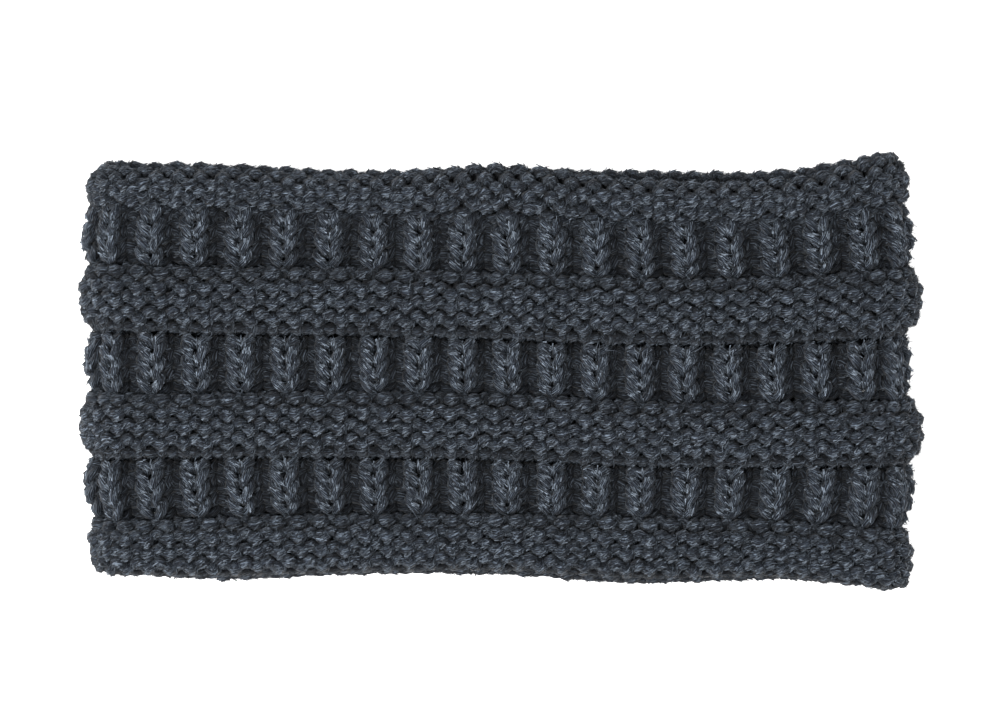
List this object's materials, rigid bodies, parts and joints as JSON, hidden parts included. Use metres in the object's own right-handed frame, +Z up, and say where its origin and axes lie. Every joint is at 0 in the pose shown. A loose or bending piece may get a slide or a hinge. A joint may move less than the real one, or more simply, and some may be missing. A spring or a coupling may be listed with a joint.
{
  "type": "ear warmer headband",
  "caption": "Closed loop of bulky knit worn round the head over the ears, with rolled welts between recessed rib bands, lying flat in two layers",
  "frame": {"origin": "middle of the flat outline, on the floor that the lower layer lies on", "axes": "+X along the flat width from fold to fold, +Y up the height of the band towards its narrow edge welt, +Z up from the floor"},
  "size_m": [0.2394, 0.124, 0.0244],
  "materials": {
    "knit_yarn": "matt bulky acrylic yarn, knitted"
  },
  "bodies": {
    "root": {"knit_band": "knit_yarn"}
  },
  "joints": []
}
